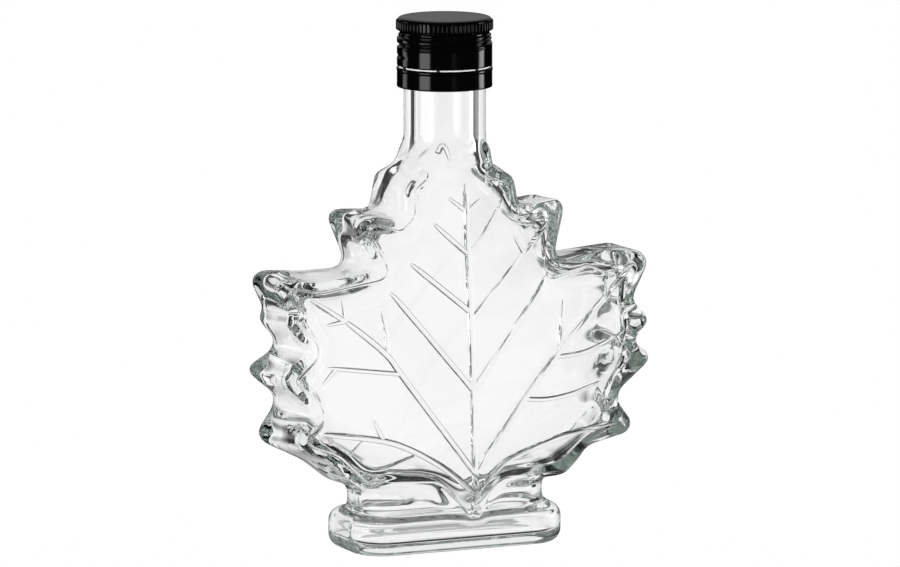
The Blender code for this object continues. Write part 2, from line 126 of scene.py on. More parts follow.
# Corners (x, z, fillet radius) of the leaf as seen from its front, down its left half and up
# its right: where the veined face ends, the rim on that side, and the rim at the plain back.
CORNERS = [
    ((-5.5, 136.6, 1.5), (-10.5, 138, 3), (-12.5, 137.5, 3)),
    ((-13, 129.5, 1.5), (-12.8, 128.4, 5), (-15.2, 129.2, 5)),
    ((-11.8, 126.6, 1), (-21.2, 125.8, 3), (-22.4, 126.6, 3.2)),
    ((-17.2, 122.4, 2.5), (-22, 120.8, 3), (-23.1, 121.9, 3)),
    ((-17.2, 113.6, 3), (-22.7, 117, 3), (-23.7, 118, 3)),
    ((-22.2, 109.2, 2), (-23.4, 113, 2.5), (-24.2, 114.3, 2.5)),
    ((-36, 112.8, 2), (-40.6, 116.8, 3), (-41.3, 115.3, 3.2)),
    ((-25.6, 94, 3.5), (-32.8, 94.6, 3), (-32.4, 95.2, 3)),
    ((-51.5, 90.2, 12), (-50, 95.6, 12), (-50, 94.8, 12)),
    ((-65.4, 93.2, 1.5), (-70.2, 96.2, 4.5), (-69.8, 96.6, 4.5)),
    ((-57, 82.7, 1.5), (-62.8, 82, 2), (-62.2, 82.4, 2)),
    ((-60.9, 81.6, 1), (-66.2, 78.6, 2), (-64.6, 79.3, 2)),
    ((-51, 70.8, 5), (-57.4, 69.6, 3.5), (-56.4, 70, 3.5)),
    ((-61.4, 61.6, 1.2), (-69.8, 61.8, 2.5), (-69.4, 62.5, 2.5)),
    ((-49, 49.4, 8), (-56.4, 50.6, 5), (-56.2, 51.8, 5)),
    ((-58.8, 40.6, 1.8), (-65.4, 37.6, 3.5), (-65.2, 38.9, 3.5)),
    ((-46.5, 36, 14), (-47.5, 30.8, 14), (-48.5, 30.6, 14)),
    ((-36.6, 26.2, 2.5), (-39, 22.8, 3), (-38.4, 22.8, 3)),
    ((-10, 24.6, 9), (-12, 20.4, 8), (-12, 20, 8)),
    ((0.4, 12.6, 1.5), (-4.6, 10.6, 2), (-4.6, 10.6, 2)),

    ((4.4, 12.6, 1.5), (5.6, 10.6, 2), (5.6, 10.6, 2)),
    ((10.5, 24.5, 8), (12, 19.5, 8), (12, 20, 8)),
    ((36, 25, 2.5), (40, 23.9, 3), (38.4, 22.8, 3)),
    ((45.5, 35, 14), (45, 31.6, 6), (48.5, 30.6, 10)),
    ((57.8, 40.4, 1.8), (66.2, 36.4, 4), (65.2, 38.9, 3.5)),
    ((48.4, 48.2, 6), (55.8, 48, 4.5), (56.2, 51, 5)),
    ((61.4, 62.2, 1.2), (71.9, 60.7, 2.6), (69.6, 62, 2.5)),
    ((57.8, 66.8, 2), (63, 66.2, 2.5), (58.4, 69.2, 3)),
    ((61.4, 73.8, 1.2), (70.9, 72.9, 2.4), (65.6, 77.6, 2.4)),
    ((58, 79.6, 3), (63.6, 80.3, 3), (62.4, 82.2, 3)),
    ((65.6, 94, 1.5), (72, 95.8, 5), (69.8, 97.6, 5)),
    ((52.4, 90.4, 4), (60, 97.8, 8), (58, 96.6, 8)),
    ((46.2, 93.4, 3), (45.5, 96.9, 8), (45.5, 95.6, 8)),
    ((28.8, 88.6, 3.5), (34.6, 94.8, 3), (32.6, 95.2, 3)),
    ((32, 114.8, 2), (40.4, 117, 3.4), (40.6, 116.2, 3.2)),
    ((18.4, 109.2, 4), (22.6, 113.8, 2.5), (23.6, 114, 2.5)),
    ((16.8, 123, 2), (20.9, 124.8, 2.8), (21.6, 126, 3)),
    ((6, 126, 6), (12.8, 127.8, 3), (14.6, 129, 4)),
    ((3, 135.5, 2), (11.5, 137.5, 3), (12.5, 137.5, 3)),
]
# Raised veins on the face: runs of (x, z), and the width of each.
VEINS = [
    (2.3, [(1.8, 14.5), (1.8, 18), (1.2, 55), (0.8, 81), (0.4, 101), (0.3, 124)]),
    (2.1, [(1.6, 27), (-25.2, 62.2), (-29.8, 69.4), (-44.6, 81.2)]),
    (2.1, [(1.6, 27), (22.6, 54), (33.8, 66.6), (50.8, 82.8), (61, 92)]),
    (2.1, [(1.8, 19.6), (-7.5, 28.6), (-21.9, 36.9), (-31.7, 40.6), (-52.3, 43.8)]),
    (2.1, [(1.8, 19.6), (10.9, 29.8), (22, 33.6), (36.9, 38.2), (54.4, 40.2)]),
    (1.6, [(0.5, 114.6), (-6, 119.6)]),
    (1.6, [(0.5, 114.6), (5.4, 118.4)]),
    (1.8, [(0.4, 100.4), (-11.5, 111.2)]),
    (1.8, [(0.5, 100), (7.5, 108), (14, 118)]),
    (2, [(0.8, 81.2), (-20.4, 98.6)]),
    (2, [(1, 78.4), (20.8, 99.2), (31.4, 109.8)]),
    (1.4, [(21, 99.4), (17.3, 105.6)]),
    (2, [(1, 55.2), (-27.8, 89.4)]),
    (2, [(1, 54.8), (30.2, 91.4)]),
    (1.8, [(-44.4, 81), (-56.3, 88.6)]),
    (1.6, [(-44.4, 81), (-44.9, 88.4)]),
    (1.6, [(-44.4, 81), (-51.1, 80)]),
    (1.6, [(-29.6, 69), (-29.8, 77.2), (-31.4, 83.6)]),
    (1.6, [(-25.2, 62.2), (-50.7, 65.8)]),
    (1.4, [(-48, 65.4), (-53.3, 59.8)]),
    (1.6, [(50.8, 82.8), (51.7, 88.8)]),
    (1.6, [(50.6, 82.6), (56.7, 81.8)]),
    (1.6, [(33.6, 66.4), (34.4, 76), (35.2, 83)]),
    (1.6, [(31.6, 64), (41.1, 64.4), (48.6, 66.6), (58, 70.6)]),
    (1.6, [(20, 50.8), (27.9, 49.8), (39, 51.2), (48.4, 54.4)]),
    (1.6, [(-31.7, 40.6), (-35.2, 47.5)]),
    (1.6, [(-20.7, 34.2), (-36.3, 29.3), (-43.4, 36.5)]),
    (1.4, [(-43.2, 36.4), (-39.1, 40.6)]),
    (1.4, [(37, 38.2), (39.5, 41.2)]),
    (2, [(-8.6, 134.2), (-6.8, 136.9), (-6, 136.6), (-4.8, 132)]),
]

FIELD_LOW = (-84.0, -6.0)
FIELD_HIGH = (84.0, 150.0)


def lattice(step):
    """Two arrays of x and z over the leaf's own box."""
    x = np.arange(FIELD_LOW[0], FIELD_HIGH[0] + step, step)
    z = np.arange(FIELD_LOW[1], FIELD_HIGH[1] + step, step)
    return np.meshgrid(x, z, indexing="ij")


def filleted(corners, steps=8):
    """Points (x, z) of a closed outline whose corners are rounded by arcs."""
    points = []
    for index, (x, z, radius) in enumerate(corners):
        corner = Vector((x, z))
        before = Vector(corners[index - 1][:2]) - corner
        after = Vector(corners[(index + 1) % len(corners)][:2]) - corner
        half_angle = before.angle(after) / 2
        reach = min(radius / math.tan(half_angle), 0.48 * before.length, 0.48 * after.length)
        ends = [corner + side.normalized() * reach for side in (before, after)]
        axis = (before.normalized() + after.normalized()).normalized()
        middle = corner + axis * reach / math.cos(half_angle)
        turn = (ends[0] - middle).angle_signed(ends[1] - middle)
        for step in range(steps + 1):
            angle = -turn * step / steps
            spoke = ends[0] - middle
            points.append((
                middle.x + spoke.x * math.cos(angle) - spoke.y * math.sin(angle),
                middle.y + spoke.x * math.sin(angle) + spoke.y * math.cos(angle),
            ))
    return np.array(points)


def segment_distance(x, z, start, end):
    """Distance of every lattice point from one straight stretch."""
    along = end - start
    share = ((x - start[0]) * along[0] + (z - start[1]) * along[1]) / max(along @ along, 1e-9)
    share = np.clip(share, 0.0, 1.0)
    return np.hypot(x - start[0] - share * along[0], z - start[1] - share * along[1])


def outline_distance(corners, step):
    """Distance from a closed outline on the lattice, negative inside it."""
    x, z = lattice(step)
    points = filleted(corners)
    distance = np.full(x.shape, 1e9)
    inside = np.zeros(x.shape, bool)
    for start, end in zip(points, np.roll(points, -1, axis=0)):
        distance = np.minimum(distance, segment_distance(x, z, start, end))
        if start[1] != end[1]:
            crossing = start[0] + (end[0] - start[0]) * (z - start[1]) / (end[1] - start[1])
            inside ^= ((start[1] > z) != (end[1] > z)) & (x < crossing)
    return np.where(inside, -distance, distance)


def softened(values, reach, step):
    """Values on the lattice blurred by a bell curve `reach` wide."""
    spectrum = np.fft.rfft2(values)
    u = np.fft.fftfreq(values.shape[0], step)[:, None]
    v = np.fft.rfftfreq(values.shape[1], step)[None, :]
    bell = np.exp(-2 * (math.pi * reach) ** 2 * (u * u + v * v))
    return np.fft.irfft2(spectrum * bell, values.shape)


def spline_weights(share):
    """Weights of the four lattice lines round a place, for a cubic spline."""
    rest = 1 - share
    return (rest ** 3 / 6, (3 * share ** 3 - 6 * share ** 2 + 4) / 6,
            (3 * rest ** 3 - 6 * rest ** 2 + 4) / 6, share ** 3 / 6)


def read_field(field, step, x, z):
    """Values of a lattice field between its points, smooth to the second order."""
    u = (np.clip(x, FIELD_LOW[0] + 2 * step, FIELD_HIGH[0] - 2 * step) - FIELD_LOW[0]) / step
    v = (np.clip(z, FIELD_LOW[1] + 2 * step, FIELD_HIGH[1] - 2 * step) - FIELD_LOW[1]) / step
    i = np.floor(u).astype(int)
    j = np.floor(v).astype(int)
    total = 0.0
    for a, across in enumerate(spline_weights(u - i)):
        for b, up in enumerate(spline_weights(v - j)):
            total = total + (across * up)[..., None] * field[i + a - 1, j + b - 1]
    return np.moveaxis(total, -1, 0)


def smooth_step(low, high, value):
    """Eases from 0 at one value to 1 at another."""
    share = np.clip((value - low) / (high - low), 0.0, 1.0)
    return share * share * (3 - 2 * share)


def joined(a, b, reach):
    """Two forms made one, with a fillet `reach` wide between them."""
    share = np.clip(0.5 + 0.5 * (b - a) / reach, 0.0, 1.0)
    return b + (a - b) * share - reach * share * (1 - share)


def cut(a, b, reach):
    """Form a without form b, with a rounded edge."""
    return -joined(-a, b, reach)


def both(a, b, reach):
    """What two forms have in common, with a rounded edge."""
    return -joined(-a, -b, reach)


def rounded_plan(x, y, half, corner):
    """Distance from a rounded rectangle about the axis."""
    u = np.abs(x) - half[0] + corner
    v = np.abs(y) - half[1] + corner
    return np.hypot(np.maximum(u, 0), np.maximum(v, 0)) + np.minimum(np.maximum(u, v), 0) - corner


def capped(plan, height, edge):
    """A form from its plan distance and its distance past its ends, with rounded ends."""
    u = plan + edge
    v = height + edge
    return np.hypot(np.maximum(u, 0), np.maximum(v, 0)) + np.minimum(np.maximum(u, v), 0) - edge


def slab(rim, inset, depth, edge):
    """A slab whose face runs out to its rim over an elliptical rounding."""
    u = np.maximum(1 + rim / inset, 0)
    v = np.maximum(1 + depth / edge, 0)
    square = np.maximum(u * u + v * v, 1e-9)
    reach = np.sqrt(square)
    return (reach - 1) * (u * u * inset + v * v * edge) / square


def linked(name, data):
    """A new object of the scene."""
    item = bpy.data.objects.new(name, data)
    bpy.context.scene.collection.objects.link(item)
    return item


def mesh_from(name, points, edges=(), faces=()):
    """A new mesh of its points, edges and faces."""
    mesh = bpy.data.meshes.new(name)
    mesh.from_pydata([tuple(p) for p in points], edges, [tuple(f) for f in faces])
    return mesh


def reworked(mesh, weld=0.0):
    """Faces a closed mesh outwards, after welding it into triangles where a reach is given."""
    shape = bmesh.new()
    shape.from_mesh(mesh)
    if weld:
        bmesh.ops.remove_doubles(shape, verts=shape.verts, dist=weld)
        bmesh.ops.triangulate(shape, faces=shape.faces)
    bmesh.ops.recalc_face_normals(shape, faces=shape.faces)
    shape.to_mesh(mesh)
    shape.free()


def add_node(tree, kind, values=None, **options):
    """A new node. An input given a socket is linked to it, and any other value is a constant."""
    node = tree.nodes.new(kind)
    for option, value in options.items():
        setattr(node, option, value)
    for name, value in (values or {}).items():
        if isinstance(value, bpy.types.NodeSocket):
            tree.links.new(value, node.inputs[name])
        else:
            node.inputs[name].default_value = value
    return node


def output_of(tree, kind, values=None, **options):
    """The first output of a new node."""
    return add_node(tree, kind, values, **options).outputs[0]


def math_node(tree, operation, *values):
    """The result of a sum over sockets and numbers."""
    return output_of(tree, "ShaderNodeMath", dict(enumerate(values)), operation=operation)


def modifier_tree(name, inputs):
    """A Geometry Nodes tree, the identifiers of its inputs, and the inputs as sockets."""
    tree = bpy.data.node_groups.new(name, "GeometryNodeTree")
    tree.interface.new_socket(name="Geometry", in_out="OUTPUT", socket_type="NodeSocketGeometry")
    names = {}
    for label, kind in (("Geometry", "Geometry"), *inputs, ("Material", "Material")):
        socket = tree.interface.new_socket(label, in_out="INPUT", socket_type="NodeSocket" + kind)
        names[label] = socket.identifier
    return tree, names, tree.nodes.new("NodeGroupInput").outputs


def give_out(tree, shape, given):
    """Ends a tree: its shape made real and in the given material."""
    real = output_of(tree, "GeometryNodeRealizeInstances", {"Geometry": shape})
    done = output_of(tree, "GeometryNodeSetMaterial", {
        "Geometry": real, "Material": given["Material"]})
    add_node(tree, "NodeGroupOutput", {"Geometry": done})


def run_tree(item, tree, names, values, name):
    """The object that a Geometry Nodes tree makes of another, with its inputs by their labels."""
    modifier = item.modifiers.new("nodes", "NODES")
    modifier.node_group = tree
    for label, value in values.items():
        modifier[names[label]] = value
    return settled_mesh(item, name)


def shaded_material(name, values):
    """A new material and its shader, with the shader's own values set."""
    material = bpy.data.materials.new(name)
    material.use_nodes = True
    shader = material.node_tree.nodes["Principled BSDF"]
    for label, value in values.items():
        shader.inputs[label].default_value = value
    return material, shader


class Glass:
    """The bottle as one function of space, negative in the glass."""

    def __init__(self, settings):
        self.settings = settings
        outlines = [outline_distance([row[k] for row in CORNERS], FIELD_STEP) for k in range(3)]

        def soft(values, reach):
            return softened(values, reach, FIELD_STEP)
        face = soft(outlines[0], FACE_SOFTNESS)
        front, back = [soft(outline, EDGE_SOFTNESS) for outline in outlines[1:]]
        x, z = lattice(FIELD_STEP)
        wide = smooth_step(*LEDGE_END_X, x) * smooth_step(*LEDGE_END_Z, z)
        ledge = both(soft(outlines[0], LEDGE_SOFTNESS) - settings.ledge, back, LEDGE_ROUND)
        front = ledge + (front - ledge) * wide
        inner = [soft(outline, settings.hollow_softness) for outline in (front, outlines[2])]
        self.forms = np.stack([face, front, back, *inner], axis=-1)

    def outer(self, x, y, z, half, bulge, rim, face, front, back):
        """The outside of the bottle."""
        s = self.settings
        front_depth = -y - half - bulge * (1 - smooth_step(*FRONT_SWELL_FADE, face))
        back_depth = y - half - bulge * (1 - smooth_step(*BACK_SWELL_FADE, back))
        step = s.face_step * (1 - smooth_step(*STEP_END_Z, z))
        form = np.where(y < 0, slab(rim, FRONT_INSET, front_depth + step, FRONT_EDGE),
                        slab(rim, BACK_INSET, back_depth, BACK_EDGE))
        raised = both(np.maximum(face, front + FACE_OVERLAP), front_depth, s.face_round)
        form = joined(form, np.maximum(raised, y + half - FACE_DEPTH), s.face_round)
        neck_radius = NECK_RADIUS + (FINISH_RADIUS - NECK_RADIUS) * smooth_step(
            FINISH_START_Z - 1.0, FINISH_START_Z + 1.0, z)
        neck = capped(np.hypot(x, y) - neck_radius, z - LIP_Z, LIP_ROUND)
        form = joined(form, np.maximum(neck, NECK_ROOT_Z - z), s.neck_fillet)
        waist = rounded_plan(x, y, WAIST_HALF, WAIST_CORNER)
        waist = np.maximum(waist, np.maximum(z - WAIST_TOP_Z, WAIST_LOW_Z - z))
        form = joined(form, waist, WAIST_JOIN)
        edge = FOOT_EDGE[0] + (FOOT_EDGE[1] - FOOT_EDGE[0]) * smooth_step(*FOOT_EDGE_Z, z)
        foot = capped(rounded_plan(x, y, FOOT_HALF, FOOT_CORNER),
                      np.abs(z - FOOT_HEIGHT / 2) - FOOT_HEIGHT / 2, edge)
        form = joined(form, foot, FOOT_JOIN)
        button = np.sqrt((x - BUTTON_X) ** 2 + (y + half - BUTTON_SUNK) ** 2
                         + (z - BUTTON_Z) ** 2) - BUTTON_RADIUS
        form = joined(form, button, BUTTON_JOIN)
        arch = 1 - (x / PUSH_UP_HALF[0]) ** 2 - (y / PUSH_UP_HALF[1]) ** 2
        return cut(form, z - PUSH_UP * np.clip(arch, 0, 1), PUSH_UP_ROUND)

    def hollow(self, x, y, z, half, bulge, rim):
        """The hollow inside it: the leaf, the bore, the well in the waist and the foot's pocket."""
        s = self.settings
        wave = HOLLOW_WAVE * np.sin(x / 9.0 + 0.7 * np.sin(z / 13.0)) * np.sin(z / 11.0 + 1.0)
        depth = np.abs(y) - (half + bulge - s.wall + wave)
        form = slab(rim + s.rim_wall, s.hollow_inset, depth, s.hollow_edge)
        form = joined(form, np.maximum(np.hypot(x, y) - BORE_RADIUS, BORE_LOW_Z - z), BORE_JOIN)
        well = rounded_plan(x, y, [size - s.wall for size in WAIST_HALF], WAIST_CORNER - s.wall)
        well = np.maximum(well, np.maximum(z - WELL_TOP_Z, WELL_LOW_Z - z))
        form = joined(form, well, WELL_JOIN)
        top = FOOT_HEIGHT - s.foot_wall + POCKET_OVERLAP
        plan = rounded_plan(x, y, [size - s.foot_wall for size in FOOT_HALF],
                            FOOT_CORNER - s.foot_wall)
        height = np.abs(z - (BASE_THICKNESS + top) / 2) - (top - BASE_THICKNESS) / 2
        return joined(form, capped(plan, height, s.well_round), POCKET_JOIN)

    def at(self, x, y, z, forms):
        face, front, back, inner_front, inner_back = forms
        half = BASE_HALF_DEPTH - DEPTH_TAPER * z
        share = smooth_step(-half + FRONT_EDGE, half - BACK_EDGE, y)
        bulge = 1 - (x / CROWN_REACH[0]) ** 2 - ((z - LEAF_CENTRE_Z) / CROWN_REACH[1]) ** 2
        bulge = np.maximum(CROWN * bulge, 0)
        rim = front + (back - front) * share
        inner_rim = inner_front + (inner_back - inner_front) * share
        outer = self.outer(x, y, z, half, bulge, rim, face, front, back)
        return cut(outer, self.hollow(x, y, z, half, bulge, inner_rim), MOUTH_ROUND)

    def signed(self, points):
        x, y, z = points.T
        return self.at(x, y, z, read_field(self.forms, FIELD_STEP, x, z))

    def on_grid(self, x, y, z):
        flat_x, flat_z = np.meshgrid(x, z, indexing="ij")
        forms = read_field(self.forms, FIELD_STEP, flat_x, flat_z)[:, :, None, :]
        return self.at(x[:, None, None], y[None, :, None], z[None, None, :], forms)

    def gradient(self, points, reach=0.02):
        slope = np.empty(points.shape)
        for axis in range(3):
            offset = np.zeros(3)
            offset[axis] = reach
            slope[:, axis] = self.signed(points + offset) - self.signed(points - offset)
        return slope / (2 * reach)

    def facing(self, points):
        """The way out of the glass, at a length of one."""
        slope = self.gradient(points)
        return slope / (np.linalg.norm(slope, axis=1)[:, None] + 1e-9)

    def settle(self, points, rounds):
        """Moves points onto the surface along its own slope."""
        for _ in range(rounds):
            value = self.signed(points)
            slope = self.gradient(points)
            size = np.maximum((slope ** 2).sum(axis=1), 0.05)
            move = np.clip(value / size, -0.8, 0.8)
            points = points - move[:, None] * slope
        return points


def window(low, size):
    """The block of a grid that starts at a place and has a size."""
    return tuple(slice(a, a + n) for a, n in zip(low, size))


def surface_net(values, low, step):
    """Points and quads of the surface where a grid of values passes through nought."""
    inside = values < 0
    shape = np.array(values.shape)
    cells = shape - 1
    total = np.zeros((*cells, 3))
    count = np.zeros(cells)
    index = np.stack(np.meshgrid(*[np.arange(n) for n in cells], indexing="ij"), axis=-1)
    crossings = []
    for axis in range(3):
        along = np.eye(3, dtype=int)[axis]
        first, second = window((0, 0, 0), shape - along), window(along, shape - along)
        a, b = values[first], values[second]
        crossed = inside[first] != inside[second]
        share = np.where(crossed, a / np.where(crossed, a - b, 1.0), 0.0)
        crossings.append((crossed, inside[first]))
        u, v = [k for k in range(3) if k != axis]
        for du in (0, 1):
            for dv in (0, 1):
                corner = np.zeros(3, int)
                corner[[u, v]] = du, dv
                here = crossed[window(corner, cells)]
                place = index + corner.astype(float)
                place[..., axis] += share[window(corner, cells)]
                total += place * here[..., None]
                count += here
    used = count > 0
    numbers = np.full(cells, -1)
    numbers[used] = np.arange(used.sum())
    points = total[used] / count[used][:, None] * step + np.array(low)
    quads = []
    for axis, (crossed, starts_inside) in enumerate(crossings):
        u, v = [k for k in range(3) if k != axis]
        edge = np.ones(3, int)
        edge[axis] = 0
        where = np.argwhere(crossed[window(edge, crossed.shape - 2 * edge)]) + edge
        flip = starts_inside[tuple(where.T)] ^ (axis == 1)
        ring = []
        for du, dv in ((-1, -1), (0, -1), (0, 0), (-1, 0)):
            cell = where.copy()
            cell[:, u] += du
            cell[:, v] += dv
            ring.append(numbers[tuple(cell.T)])
        ring = np.stack(ring, axis=1)
        quads.append(np.where(flip[:, None], ring, ring[:, ::-1]))
    return points, np.concatenate(quads)


def relaxed(points, faces, glass, rounds):
    """Evens out the points along the surface and settles them on it again."""
    pairs = np.concatenate([np.stack([faces[:, k], np.roll(faces, -1, axis=1)[:, k]], axis=1)
                            for k in range(faces.shape[1])])
    for _ in range(rounds):
        mean = np.zeros(points.shape)
        for axis in range(3):
            mean[:, axis] = (np.bincount(pairs[:, 0], points[pairs[:, 1], axis], len(points))
                             + np.bincount(pairs[:, 1], points[pairs[:, 0], axis], len(points)))
        count = np.bincount(pairs.ravel(), minlength=len(points))
        shift = mean / count[:, None] - points
        normal = glass.facing(points)
        shift -= (shift * normal).sum(axis=1)[:, None] * normal
        points = glass.settle(points + 0.5 * shift, 1)
    return points


def refined(points, quads, glass):
    """Triangles of a mesh, halved wherever the surface turns sharply along an edge."""
    mesh = mesh_from("net", points, faces=quads)
    shape = bmesh.new()
    shape.from_mesh(mesh)
    bmesh.ops.triangulate(shape, faces=shape.faces)
    for limit in REFINE_TURNS:
        normal = glass.facing(points)
        shape.verts.index_update()
        ends = np.array([[v.index for v in e.verts] for e in shape.edges])
        turn = (normal[ends[:, 0]] * normal[ends[:, 1]]).sum(axis=1)
        sharp = [e for e, share in zip(shape.edges, turn) if share < math.cos(math.radians(limit))]
        bmesh.ops.subdivide_edges(shape, edges=sharp, cuts=1, use_grid_fill=True)
        bmesh.ops.triangulate(shape, faces=shape.faces)
        shape.verts.index_update()
        points = glass.settle(np.array([v.co for v in shape.verts]), 3)
        for vertex, place in zip(shape.verts, points):
            vertex.co = place
    triangles = [[v.index for v in f.verts] for f in shape.faces]
    shape.free()
    bpy.data.meshes.remove(mesh)
    return points, triangles


# Half of a vein's section from its crest to its foot: out to the side as a share of half its
# width, and out of the face as a share of its height.
VEIN_SECTION = [
    (0.0, 1.0), (0.28, 0.97), (0.54, 0.86), (0.76, 0.64), (0.92, 0.33), (1.04, -0.1), (1.14, -0.8),
]
VEIN_FADE = 6.0
VEIN_END_SHARE = 0.45
VEIN_END_SUNK = 0.25
VEIN_FOOT_ANGLE = 32.0


def eased_run(run, spacing=0.9):
    """A run of points with its corners eased, at an even spacing, and the way along it."""
    points = np.array(run, float)
    for _ in range(3):
        if len(points) > 2:
            near = 0.75 * points[:-1] + 0.25 * points[1:]
            far = 0.25 * points[:-1] + 0.75 * points[1:]
            middle = np.stack([near, far], axis=1).reshape(-1, 2)
            points = np.concatenate([points[:1], middle[1:-1], points[-1:]])
    steps = np.linalg.norm(np.diff(points, axis=0), axis=1)
    along = np.concatenate([[0], np.cumsum(steps)])
    even = np.linspace(0, along[-1], max(4, int(along[-1] / spacing)) + 1)
    return np.stack([np.interp(even, along, points[:, k]) for k in (0, 1)], axis=1), even


def set_down(glass, run):
    """The points of a run, set down on the veined face from in front of it."""
    x, z = run.T
    y = -(BASE_HALF_DEPTH - DEPTH_TAPER * z) - 4.0
    for _ in range(40):
        y = y + 0.8 * glass.signed(np.stack([x, y, z], axis=1))
    return np.stack([x, y, z], axis=1)


def vein_line(glass, width, run):
    """A vein's run as a line of points that carry which way they face and their size."""
    flat, along = eased_run(run)
    points = set_down(glass, flat)
    facing = glass.facing(points)
    left = np.clip((along[-1] - along) / VEIN_FADE, 0.0, 1.0)
    size = width / 2 * (VEIN_END_SHARE + (1 - VEIN_END_SHARE) * np.sqrt(left))
    points = points - facing * (VEIN_END_SUNK * (1 - left) ** 2)[:, None]
    mesh = mesh_from("vein", points, [(k, k + 1) for k in range(len(points) - 1)])
    for name, kind, field, values in (("facing", "FLOAT_VECTOR", "vector", facing.ravel()),
                                      ("size", "FLOAT", "value", size)):
        mesh.attributes.new(name, kind, "POINT").data.foreach_set(field, values)
    return linked("vein", mesh)


def vein_section(height):
    """The closed section of a vein, its height along x and its width along y."""
    half = [(height * up, side) for side, up in VEIN_SECTION]
    ring = half + [(up, -side) for up, side in reversed(half[1:])]
    edges = [(k, (k + 1) % len(ring)) for k in range(len(ring))]
    return linked("vein_section", mesh_from("vein_section", [(*p, 0) for p in ring], edges))


def vein_tree():
    """Geometry Nodes that sweep a section along a line that lies on the face."""
    tree, names, given = modifier_tree("vein_sweep", [("Section", "Object"), ("Scale", "Float")])
    facing, size = [
        output_of(tree, "GeometryNodeInputNamedAttribute", {"Name": name}, data_type=kind)
        for name, kind in (("facing", "FLOAT_VECTOR"), ("size", "FLOAT"))]
    run = output_of(tree, "GeometryNodeMeshToCurve", {"Mesh": given["Geometry"]})
    turned = output_of(
        tree, "GeometryNodeSetCurveNormal", {"Curve": run, "Normal": facing}, mode="FREE")
    source = add_node(tree, "GeometryNodeObjectInfo", {"Object": given["Section"]})
    ring = output_of(tree, "GeometryNodeMeshToCurve", {"Mesh": source.outputs["Geometry"]})
    sweep = output_of(tree, "GeometryNodeCurveToMesh", {
        "Curve": turned, "Profile Curve": ring, "Fill Caps": True,
        "Scale": math_node(tree, "MULTIPLY", size, given["Scale"])})
    give_out(tree, sweep, given)
    return tree, names


def applied(item):
    """The mesh that an object's modifiers make of it, with the modifiers taken off."""
    graph = bpy.context.evaluated_depsgraph_get()
    mesh = bpy.data.meshes.new_from_object(item.evaluated_get(graph))
    item.modifiers.clear()
    return mesh


def united(item, other):
    """Makes one closed solid of two."""
    union = item.modifiers.new("union", "BOOLEAN")
    union.operation = "UNION"
    union.solver = "MANIFOLD"
    union.object = other
    item.data = applied(item)
    bpy.data.objects.remove(other, do_unlink=True)
    return item


def vein_network(glass, settings, materials):
    """All the veins as one closed mesh, in the last of the materials."""
    tree, names = vein_tree()
    section = vein_section(settings.vein_height)
    network = None
    for width, run in VEINS:
        values = {"Section": section, "Scale": settings.vein_scale, "Material": materials[-1]}
        vein = run_tree(vein_line(glass, width, run), tree, names, values, "vein")
        reworked(vein.data, weld=1e-5)
        vein.data.materials.clear()
        for material in materials:
            vein.data.materials.append(material)
        for face in vein.data.polygons:
            face.material_index = 1
        network = vein if network is None else united(network, vein)
    bpy.data.objects.remove(section, do_unlink=True)
    return network


def values_of(items, name, kind=float, width=1):
    """One value of every vertex, corner or face of a mesh."""
    values = np.empty(len(items) * width, kind)
    items.foreach_get(name, values)
    return values


def smooth_shading(mesh, glass):
    """Shades the glass by its own slope, and the veins smoothly between their sharp feet."""
    mesh.shade_smooth()
    mesh.set_sharp_from_angle(angle=math.radians(VEIN_FOOT_ANGLE))
    normals = values_of(mesh.corner_normals, "vector", width=3).reshape(-1, 3)
    slope = glass.facing(values_of(mesh.vertices, "co", width=3).reshape(-1, 3))
    corners = values_of(mesh.loops, "vertex_index", int)
    kinds = values_of(mesh.polygons, "material_index", int)
    plain = np.repeat(kinds, values_of(mesh.polygons, "loop_total", int)) == 0
    normals[plain] = slope[corners[plain]]
    mesh.polygons.foreach_set("material_index", np.zeros(len(kinds), int))
    mesh.normals_split_custom_set([tuple(n) for n in normals])


# ---------------------------------------------------------------- settings


def millimetres(name, description, default):
    return FloatProperty(name=name, description=description + ", mm", default=default)


def colour(name, description, default):
    return FloatVectorProperty(
        name=name, description=description, subtype="COLOR", size=3, default=default)


class GlassSettings(bpy.types.PropertyGroup):
    wall: millimetres("Wall", "Thickness of the faces", 3.2)
    rim_wall: millimetres("Rim wall", "Least thickness at the rim", 4.0)
    foot_wall: millimetres("Foot wall", "Thickness of the foot's side", 2.8)
    well_round: millimetres("Well round", "Rounding of the hollow inside the foot", 1.6)
    hollow_softness: millimetres("Hollow softness", "How far the hollow's outline is smoothed", 4.5)
    hollow_inset: millimetres("Hollow inset", "Reach of the rounding inside the rim", 8.0)
    hollow_edge: millimetres("Hollow edge", "Depth of the rounding inside the rim", 7.0)
    neck_fillet: millimetres("Neck fillet", "Reach of the fillet from leaf to neck", 1.8)
    ledge: millimetres("Ledge", "Width of the rim outside the veined face on its left", 3.0)
    face_step: millimetres("Face step", "How far the veined face stands out of the rim", 1.6)
    face_round: millimetres("Face round", "Reach of the rounding at the veined face's edge", 0.6)
    vein_height: FloatProperty(
        name="Vein height", description="Height of the veins for each mm of half their width",
        default=1.3)
    vein_scale: FloatProperty(
        name="Vein scale", description="Width of the veins against plan", default=1.0)
    cell: millimetres("Cell", "Mesh spacing on the plain faces", 1.2)
    tint: colour("Tint", "Colour that thick glass takes on", (0.62, 0.72, 0.67))
    density: FloatProperty(name="Density", description="Strength of the tint", default=9.0)


class CapSettings(bpy.types.PropertyGroup):
    ribs: IntProperty(name="Ribs", description="Number of grip ribs", default=68)
    bridges: IntProperty(
        name="Bridges", description="Number of bridges in the tear slit", default=7)
    lacquer: colour("Lacquer", "Colour of the cap's lacquer", (0.0008, 0.0008, 0.0008))


